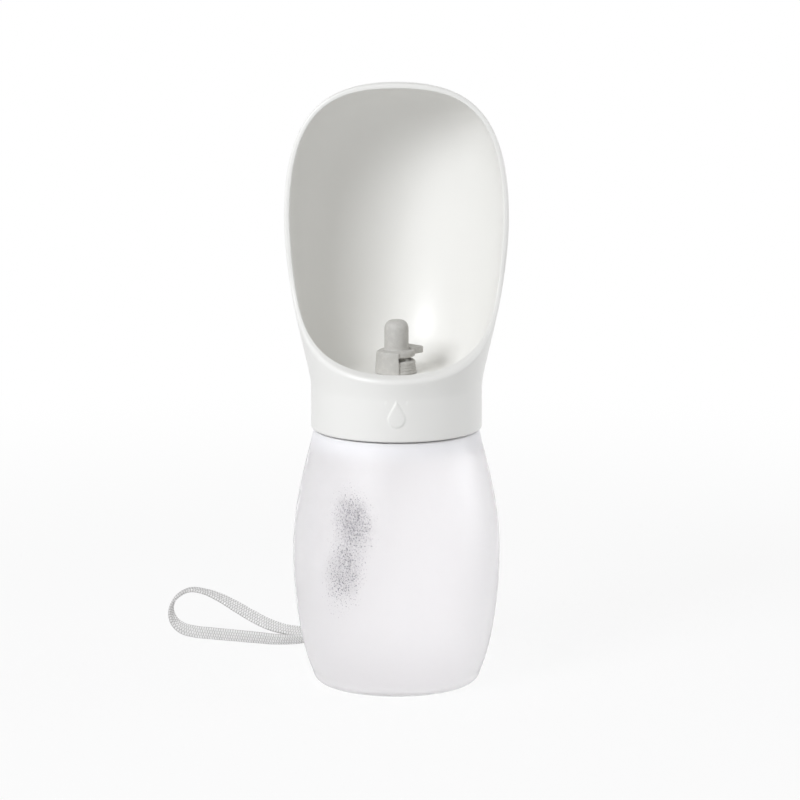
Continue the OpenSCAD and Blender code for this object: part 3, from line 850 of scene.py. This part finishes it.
def wall_rows(first, last, table):
    """Rows of points over a wall between two closed rows, relaxed until they are evenly spaced."""
    a, b = unit(first - BOWL_MIDDLE), unit(last - BOWL_MIDDLE)
    angle = np.arccos(np.clip((a * b).sum(axis=1), -1, 1))[:, None]
    rows = []
    for t in np.linspace(0, 1, WALL_ROWS + 1):
        rows.append((np.sin((1 - t) * angle) * a + np.sin(t * angle) * b) / np.sin(angle))
    grid = on_wall(BOWL_MIDDLE + np.array(rows), table)
    grid[0], grid[-1] = first, last
    for _ in range(WALL_ROUNDS):
        near = np.roll(grid, 1, axis=1) + np.roll(grid, -1, axis=1)
        inner = (near[1:-1] + grid[:-2] + grid[2:]) / 4
        grid[1:-1] = on_wall(0.5 * grid[1:-1] + 0.5 * inner, table)
    return list(grid)


def down_wall(corner, table):
    """Directions that lead from the rim down a wall, square to the rim."""
    along = unit(np.roll(corner, -1, axis=0) - np.roll(corner, 1, axis=0))
    down = unit(np.cross(wall_normal(corner, table), along))
    return down * np.where((down * [0, 1, -0.4]).sum(axis=1) < 0, -1, 1)[:, None]


def scoop_wall_rows(sizes):
    """All rows of the scoop from the collar's top over the rim to the bowl's floor."""
    outside, inside = head_profiles(sizes)
    out_table, in_table = polar(outside), polar(inside)
    corner_out, corner_in = rim_corner(outside, RAYS), rim_corner(inside, RAYS)
    down_out, down_in = down_wall(corner_out, out_table), down_wall(corner_in, in_table)
    face = corner_in - corner_out
    gap = np.linalg.norm(face, axis=1, keepdims=True)
    outer_round = np.minimum(0.5 * gap, sizes.lip_round / MM)
    inner_round = np.minimum(0.24 * gap, 0.5)
    p0 = on_wall(corner_out + down_out * outer_round, out_table)
    p1 = on_wall(corner_out + down_out * (outer_round + 0.9), out_table)
    f0 = corner_out + face / gap * outer_round
    f1 = corner_in - face / gap * inner_round
    g0 = on_wall(corner_in + down_in * inner_round, in_table)
    g1 = on_wall(corner_in + down_in * (inner_round + 0.8), in_table)
    base = circle_rows([(sizes.collar_r / MM, SKIRT_TOP)])[0]
    floor = circle_rows([(FLOOR_R, FLOOR_Z)])[0]
    rows = wall_rows(base, p1, out_table)
    rows += [p0] + round_between(p0, corner_out, f0, 9)
    rows += [(f0 + f1) / 2, f1] + round_between(f1, corner_in, g0, 5) + [g1]
    rows += wall_rows(floor, g1, in_table)[-2::-1]
    return rows


def head_lower_profile(sizes):
    """Floor, spout, underside, skirt and collar as one outline, from the floor's edge to the collar's top."""
    collar, bead = sizes.collar_r / MM, BEAD_Z
    return chain(
        [FLOOR_R, FLOOR_Z], [17, FLOOR_Z], [13, FLOOR_Z], [9, FLOOR_Z], [7, FLOOR_Z], [5.9, FLOOR_Z],
        bezier((5.9, FLOOR_Z), (5.5, FLOOR_Z), (SPOUT_R, 114.4), (SPOUT_R, 114.8), 4), [SPOUT_R, bead - 0.5],
        [5.45, bead - 0.28], [5.66, bead - 0.06], [5.7, bead + 0.2], [5.64, bead + 0.46], [5.42, bead + 0.7],
        [SPOUT_R, bead + 0.9], [SPOUT_R, 118.2], [5.1, 118.42], [4.9, SPOUT_TOP], [3.8, SPOUT_TOP],
        [3.5, 118.42], [BORE_R, 118.2], [BORE_R, 115], [BORE_R, 112.4], [3.6, UNDER_Z], [8, UNDER_Z],
        [16, UNDER_Z], [24, UNDER_Z], [28, UNDER_Z],
        bezier((28, UNDER_Z), (28.6, UNDER_Z), (SKIRT_R, 111.7), (SKIRT_R, 111.1), 4),
        [SKIRT_R, 106], [SKIRT_R, 100], [SKIRT_R, 95.2], [SKIRT_R, 94.6],
        bezier((SKIRT_R, 94.6), (SKIRT_R, 94.3), (29.2, COLLAR_Z), (29.5, COLLAR_Z), 3),
        [30.3, COLLAR_Z],
        bezier((30.3, COLLAR_Z), (30.7, COLLAR_Z), (collar, 94.4), (collar, 94.85), 5),
        [collar, 95.6], [collar, 98], [collar, 101], [collar, 104], [collar, 107],
    )


def ear(side):
    """One ear of the strap lug: a circle shaped to its outline, extruded across, filled and rounded."""
    radius, root = 2.6, SKIRT_R + 0.5
    turn = np.radians(np.linspace(-90, 90, 17))
    nose = [(BAR_Y + radius * math.cos(a), BAR_Z + radius * math.sin(a)) for a in turn]
    outline = np.array(nose + [(root, BAR_Z + radius + 1.6), (root, BAR_Z - radius - 0.6)])
    rows = [np.insert(outline, 0, x, axis=1) for x in (side * 3.5, side * 5.7)]
    return rounded_edges(closed_up(lofted("ear", rows), fill=True), 0.4)


def bar():
    """The lug's bar, moulded into both ears with small fillets."""
    turn = 2 * np.pi * np.arange(32) / 32
    fillet = ((4, 1.9), (3.5, 1.75), (3.1, 1.42), (2.7, 1.25))
    rows = []
    for x, r in (*((-x, r) for x, r in fillet), (0, 1.2), *fillet[::-1]):
        rows.append(np.stack([np.full(32, x), BAR_Y + r * np.cos(turn), BAR_Z + r * np.sin(turn)], axis=1))
    return closed_up(lofted("bar", rows), fill=True)


def drop(sizes):
    """The raised water drop on the front of the collar: a circle drawn to a point, inset and lifted row by row."""
    half, tip, rise, soft = sizes.drop_w / MM / 2, 7.35, 0.38, 0.9
    spread = math.acos(half / tip)
    turn = np.linspace(math.pi / 2 + spread, 5 * math.pi / 2 - spread, 73)
    arc = half * np.stack([np.cos(turn), np.sin(turn)], axis=1)
    point = np.array([0, tip])
    left = arc[0] + (point - arc[0]) * np.linspace(0, 0.97, 12)[1:, None]
    right = arc[-1] + (point - arc[-1]) * np.linspace(0, 0.97, 12)[1:, None]
    outline = np.vstack([arc, right, left[::-1]])
    edge = [(d, rise * float(smooth_step(d / soft))) for d in (0.0, 0.1, 0.25, 0.4, 0.55, 0.7, 0.9)]
    rows = []
    for inset, lift in [(-0.25, -0.5), (-0.25, 0.0), *edge, *((d, rise) for d in (1.4, 2.0, 2.8, 3.4))]:
        flat = outline * (half - inset) / half
        radius = sizes.collar_r / MM + lift - (0.02 if inset <= 0 else 0)
        a = flat[:, 0] / radius
        rows.append(np.stack([radius * np.sin(a), -radius * np.cos(a), 102.6 + flat[:, 1]], axis=1))
    return closed_up(lofted("drop", rows), fill=True)


class DOGBOTTLE_OT_head(bpy.types.Operator):
    """One-piece moulded head: collar, floor, spout, open scoop, strap lug and raised drop"""
    bl_idname = "dogbottle.head"
    bl_label = "Head"

    def execute(self, context):
        sizes = context.scene.dogbottle_head
        rows = circle_rows(head_lower_profile(sizes)) + scoop_wall_rows(sizes)
        shell = closed_up(lofted("shell", rows))
        head = joined("scoop_head", shell, ear(-1), ear(1), bar(), drop(sizes))
        finish = moulded_white(context.scene.dogbottle_finishes)
        finished(shaded(head, 62), "head", ["scoop"], finish)
        return {"FINISHED"}


# Bottle

SHOULDER_Z = 93.5
NECK_TOP = 109.8
THREAD_Z = 98.1      # middle of the neck's thread where it starts
THREAD_TURNS = 1.25


def bottle_outline(sizes):
    """The bottle's wall as one closed outline: up its outside from the push-up's middle and down its inside."""
    foot, wide, wall, neck = sizes.foot_d / MM / 2, sizes.body_d / MM / 2, sizes.wall / MM, sizes.neck_r / MM

    def dome(i):
        return chain([0, 3.6 + i], bezier((0, 3.6 + i), (foot / 2, 3.6 + i), (foot * 0.8, i), (foot - 0.8, i), 16))

    def barrel(i):
        heel = (foot + 5.3 - i, 4.1 + i / 2)
        belly = (wide - i, 48)
        return chain(
            bezier((foot + 0.8, i), (29.466 - i / 2, i), (30.261 - i, 1.367 + i), heel, 12),
            bezier(heel, (34.448 - i, 11.603), (wide - i, 30), belly, 34),
            bezier(belly, (wide - i, 66), (32.9 - i, 81.1), (30.2 - i, 92.7 - i / 2), 38),
        )

    shoulder = bezier((30.2, 92.7), (30.15, 93.2), (30.0, SHOULDER_Z), (29.5, SHOULDER_Z), 5)
    root = bezier((neck + 0.8, SHOULDER_Z), (neck + 0.3, SHOULDER_Z), (neck, 93.8), (neck, 94.3), 4)
    lip = bezier((neck, 109.4), (neck, 109.65), (neck - 0.15, NECK_TOP), (neck - 0.4, NECK_TOP), 3)
    inner_lip = bezier((neck - 1.6, NECK_TOP), (neck - 1.85, NECK_TOP), (neck - 2, 109.65), (neck - 2, 109.4), 3)
    outer = chain(
        dome(0), [foot + 0.8, 0.0], barrel(0), shoulder, [neck + 0.8, SHOULDER_Z], root,
        [neck, 98], [neck, 102], [neck, 106], [neck, 109.4], lip, [neck - 1.6, NECK_TOP],
    )
    inner = chain(
        dome(wall), [foot + 0.8, wall], barrel(wall), [27.6, 91.7], [neck - 1, 92], [neck - 2, 92.8], [neck - 2, 100]
    )
    return np.vstack([outer, inner_lip, inner[::-1]])


def neck_thread(sizes):
    """The ridge of the neck's thread: a section screwed round the neck, its ends sunk into the wall."""
    neck, pitch = sizes.neck_r / MM, sizes.pitch / MM
    flank = [(neck - 0.5, 1.3), (neck, 1.1), (neck + 1.0, 0.52), (neck + 1.2, 0.35)]
    section = np.array([(r, -z) for r, z in flank] + flank[::-1])
    rows = []
    for t in np.arange(101) / 100:
        a = t * THREAD_TURNS * 2 * math.pi
        sink = 1.35 * (1 - smooth_step(min(t, 1 - t) / 0.08))
        r = np.maximum(section[:, 0] - sink, neck - 0.9)
        z = THREAD_Z + section[:, 1] + t * THREAD_TURNS * pitch
        rows.append(np.stack([r * math.cos(a), r * math.sin(a), z], axis=1))
    return closed_up(lofted("thread", rows), fill=True)


class DOGBOTTLE_OT_bottle(bpy.types.Operator):
    """Frosted barrel-shaped squeeze bottle with a push-up base and a threaded neck"""
    bl_idname = "dogbottle.bottle"
    bl_label = "Bottle"

    def execute(self, context):
        sizes = context.scene.dogbottle_bottle
        shell = spun("shell", bottle_outline(sizes), 192)
        bottle = joined("bottle_shell", shell, neck_thread(sizes))
        finish = frosted_bottle(context.scene.dogbottle_finishes)
        finished(shaded(bottle, 50), "bottle_body", ["bottle"], finish)
        return {"FINISHED"}


# Silicone

HINGE_TURN = math.radians(225)
HINGE_SPAN = (186.0, 278.0)    # degrees round the spout that the hinge's arms cover
RING_TOP = 118.9
FLANGE_Z = 120.1
FLANGE_TOP = 122.5
KNOB_TOP = 133.4


def arc_block(name, section, first, last, soft=0.35):
    """A block curved round the axis: a flat outline of (radius, height) spun part of a turn, filled and rounded."""
    points = np.array(section, float)
    rows = []
    for k in range(25):
        a = math.radians(first + (last - first) * k / 24)
        rows.append(np.stack([points[:, 0] * math.cos(a), points[:, 0] * math.sin(a), points[:, 1]], axis=1))
    return rounded_edges(closed_up(lofted(name, rows), fill=True), soft, 3, 40)


def tab_block(name, near, far, low, high, width, turn, soft):
    """A short rounded tongue that reaches out from the axis."""
    obj = started(
        name, bpy.ops.mesh.primitive_cube_add, size=MM,
        location=((near + far) / 2 * MM, 0, (low + high) / 2 * MM), scale=(far - near, width, high - low),
    )
    with editing(obj):
        bm = bmesh.from_edit_mesh(obj.data)
        bpy.ops.mesh.select_all(action="DESELECT")
        for edge in bm.edges:
            ends = [v.co for v in edge.verts]
            edge.select_set(all(c.x > far * MM - 1e-6 for c in ends) and abs(ends[0].z - ends[1].z) > 1e-6)
        bmesh.update_edit_mesh(obj.data)
        bpy.ops.mesh.bevel(offset=width * 0.45 * MM, segments=8, profile=0.5)
    rounded_edges(obj, soft, 4, 40)
    with editing(obj):
        bpy.ops.mesh.select_all(action="SELECT")
        bpy.ops.transform.rotate(value=-turn, orient_axis="Z", center_override=(0, 0, 0))
    return obj


def moulded_together(name, sizes, *objs):
    """Closed shapes made one skin of fine voxels, with the soft inner corners of a rubber moulding."""
    obj = joined(name, *objs)
    applied(obj, "REMESH", mode="VOXEL", voxel_size=sizes.grain)
    applied(obj, "SMOOTH", factor=0.5, iterations=6)
    return shaded(obj)


class DOGBOTTLE_OT_silicone(bpy.types.Operator):
    """Silicone stopper with its knob and pull tab, the ring round the spout and the hinge web between them"""
    bl_idname = "dogbottle.silicone"
    bl_label = "Stopper and ring"

    def execute(self, context):
        sizes = context.scene.dogbottle_stopper
        finish = soft_silicone(context.scene.dogbottle_finishes)
        ring_r, knob_r = sizes.ring_r / MM, sizes.knob_r / MM
        bead = BEAD_Z
        ring_line = chain(
            [5.3, FLOOR_Z], [ring_r + 0.3, FLOOR_Z], [ring_r + 0.5, FLOOR_Z + 0.2], [ring_r + 0.5, FLOOR_Z + 0.7],
            [ring_r + 0.1, FLOOR_Z + 1.1], [ring_r + 0.34, 115.5], [ring_r + 0.34, 115.9], [ring_r + 0.06, 116.2],
            [ring_r + 0.24, 116.5], [ring_r + 0.24, 116.9], [ring_r - 0.04, 117.2], [ring_r + 0.1, 117.5],
            [ring_r + 0.1, RING_TOP - 0.7], [ring_r - 0.2, RING_TOP - 0.2], [ring_r - 0.7, RING_TOP],
            [5.5, RING_TOP], [5.3, RING_TOP - 0.2], [5.3, bead + 1.0],
            [5.8, bead + 0.5], [5.8, bead - 0.1], [5.3, bead - 0.6], [5.3, FLOOR_Z],
        )
        ring = moulded_together(
            "ring_silicone", sizes, spun("ring", ring_line, 128),
            arc_block("ring_arm", [(6.2, FLOOR_Z), (7.9, FLOOR_Z), (7.6, RING_TOP), (6.2, RING_TOP)], *HINGE_SPAN),
        )
        finished(ring, "head", ["spout_ring"], finish)
        crown = (knob_r, KNOB_TOP - 3.4)
        stopper_line = chain(
            [0, 116.5], [2.1, 116.5], [2.4, 116.8], [3.2, 119.7], [3.2, FLANGE_Z], [6.3, FLANGE_Z],
            [6.7, FLANGE_Z + 0.4], [6.7, FLANGE_TOP - 0.8], [6.5, FLANGE_TOP - 0.2], [5.9, FLANGE_TOP],
            [knob_r + 0.5, FLANGE_TOP], [knob_r + 0.1, FLANGE_TOP + 0.15], [knob_r, FLANGE_TOP + 0.6],
            crown, bezier(crown, (knob_r, KNOB_TOP - 1.5), (knob_r - 1.1, KNOB_TOP), (knob_r - 3.1, KNOB_TOP), 12),
            [0, KNOB_TOP],
        )
        stopper = moulded_together(
            "stopper_silicone", sizes, spun("stopper", stopper_line, 128),
            arc_block(
                "stopper_arm", [(5.5, FLANGE_Z), (7.6, FLANGE_Z), (7.3, FLANGE_TOP - 0.2), (5.5, FLANGE_TOP - 0.1)],
                *HINGE_SPAN,
            ),
            tab_block("tab", 3.5, 9.8, 120.6, 123.2, 8.6, HINGE_TURN + math.pi, 0.6),
        )
        finished(stopper, "plug", ["stopper"], finish)
        outside = [(7.6 - 0.012 * k, RING_TOP - 0.3 + 0.2 * k) for k in range(10)]
        inside = [(6.6, z) for _, z in outside[::-1]]
        low, high = RING_TOP - 0.6, FLANGE_Z + 0.6
        web_line = [(6.6, low), (7.6, low), *outside, (7.5, high), (6.6, high), *inside]
        web = arc_block("hinge_web", web_line, HINGE_SPAN[0] + 2, HINGE_SPAN[1] - 2, 0.1)
        finished(shaded(web, 40), None, ["stopper_hinge"], finish)
        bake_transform(web)
        return {"FINISHED"}


class DOGBOTTLE_OT_inside(bpy.types.Operator):
    """Finishes of the threaded sleeve and the gasket, which keep their shapes"""
    bl_idname = "dogbottle.inside"
    bl_label = "Sleeve and gasket"

    def execute(self, context):
        colours = context.scene.dogbottle_finishes
        for node, finish in (("thread_sleeve", moulded_inner(colours)), ("mouth_gasket", clear_silicone(colours))):
            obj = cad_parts[node]
            for place in obj.material_slots:
                place.material = finish
        return {"FINISHED"}


class DOGBOTTLE_PT_panel(bpy.types.Panel):
    """Lists the steps that build the bottle"""
    bl_idname = "DOGBOTTLE_PT_panel"
    bl_label = "Water bottle"
    bl_space_type = "VIEW_3D"
    bl_region_type = "UI"
    bl_category = "Water bottle"

    def draw(self, context):
        for step in STEPS:
            self.layout.operator(step.bl_idname)
        for group in GROUPS:
            box = self.layout.box()
            data = getattr(context.scene, group)
            for name in data.bl_rna.properties.keys():
                if name not in ("rna_type", "name"):
                    box.prop(data, name)


GROUPS = {
    "dogbottle_studio": StudioSettings,
    "dogbottle_finishes": Finishes,
    "dogbottle_strap": StrapSizes,
    "dogbottle_head": HeadSizes,
    "dogbottle_bottle": BottleSizes,
    "dogbottle_stopper": StopperSizes,
}
STEPS = (
    DOGBOTTLE_OT_studio, DOGBOTTLE_OT_strap, DOGBOTTLE_OT_stitching, DOGBOTTLE_OT_head, DOGBOTTLE_OT_bottle,
    DOGBOTTLE_OT_silicone, DOGBOTTLE_OT_inside,
)


def register():
    for group in GROUPS.values():
        bpy.utils.register_class(group)
    for group, kind in GROUPS.items():
        setattr(bpy.types.Scene, group, PointerProperty(type=kind))
    for kind in (*STEPS, DOGBOTTLE_PT_panel):
        bpy.utils.register_class(kind)


def unregister():
    for kind in (DOGBOTTLE_PT_panel, *reversed(STEPS)):
        bpy.utils.unregister_class(kind)
    for group in GROUPS:
        delattr(bpy.types.Scene, group)
    for group in GROUPS.values():
        bpy.utils.unregister_class(group)


def main():
    register()
    for step in STEPS:
        kind, name = step.bl_idname.split(".")
        getattr(getattr(bpy.ops, kind), name)()


if __name__ == "__main__":
    main()
